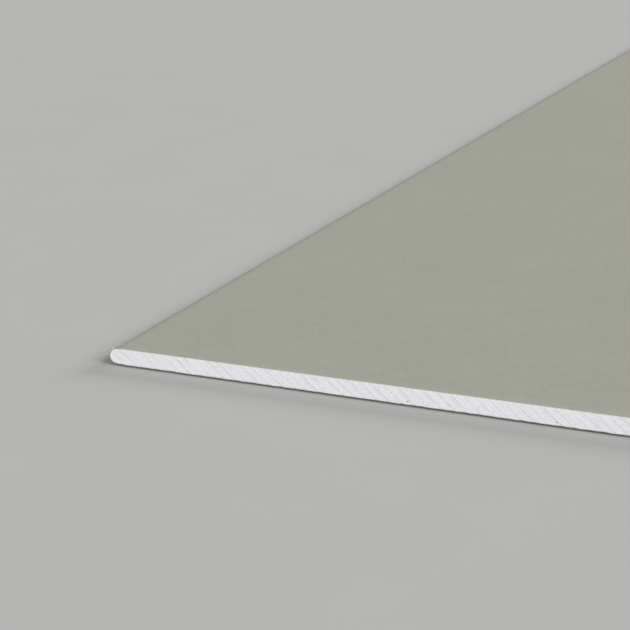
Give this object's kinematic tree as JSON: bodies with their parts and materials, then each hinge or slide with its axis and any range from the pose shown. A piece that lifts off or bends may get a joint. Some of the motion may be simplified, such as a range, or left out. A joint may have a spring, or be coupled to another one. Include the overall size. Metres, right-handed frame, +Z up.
{
  "type": "drywall sheet",
  "caption": "Rectangular sheet of drywall: white gypsum core, grey-cream face paper folded round both half-round long edges, sawn ends.",
  "frame": {"origin": "middle of the underside, which lies on the floor", "axes": "+X across the sheet's width, +Y along its length and its half-round edges, +Z up through the face"},
  "size_m": [1.2, 2.4, 0.0125],
  "materials": {
    "gypsum": "matte",
    "face_paper": "matte",
    "back_paper": "matte"
  },
  "bodies": {
    "root": {"gypsum_core": "gypsum", "face_paper": "face_paper", "back_paper": "back_paper"}
  },
  "joints": []
}
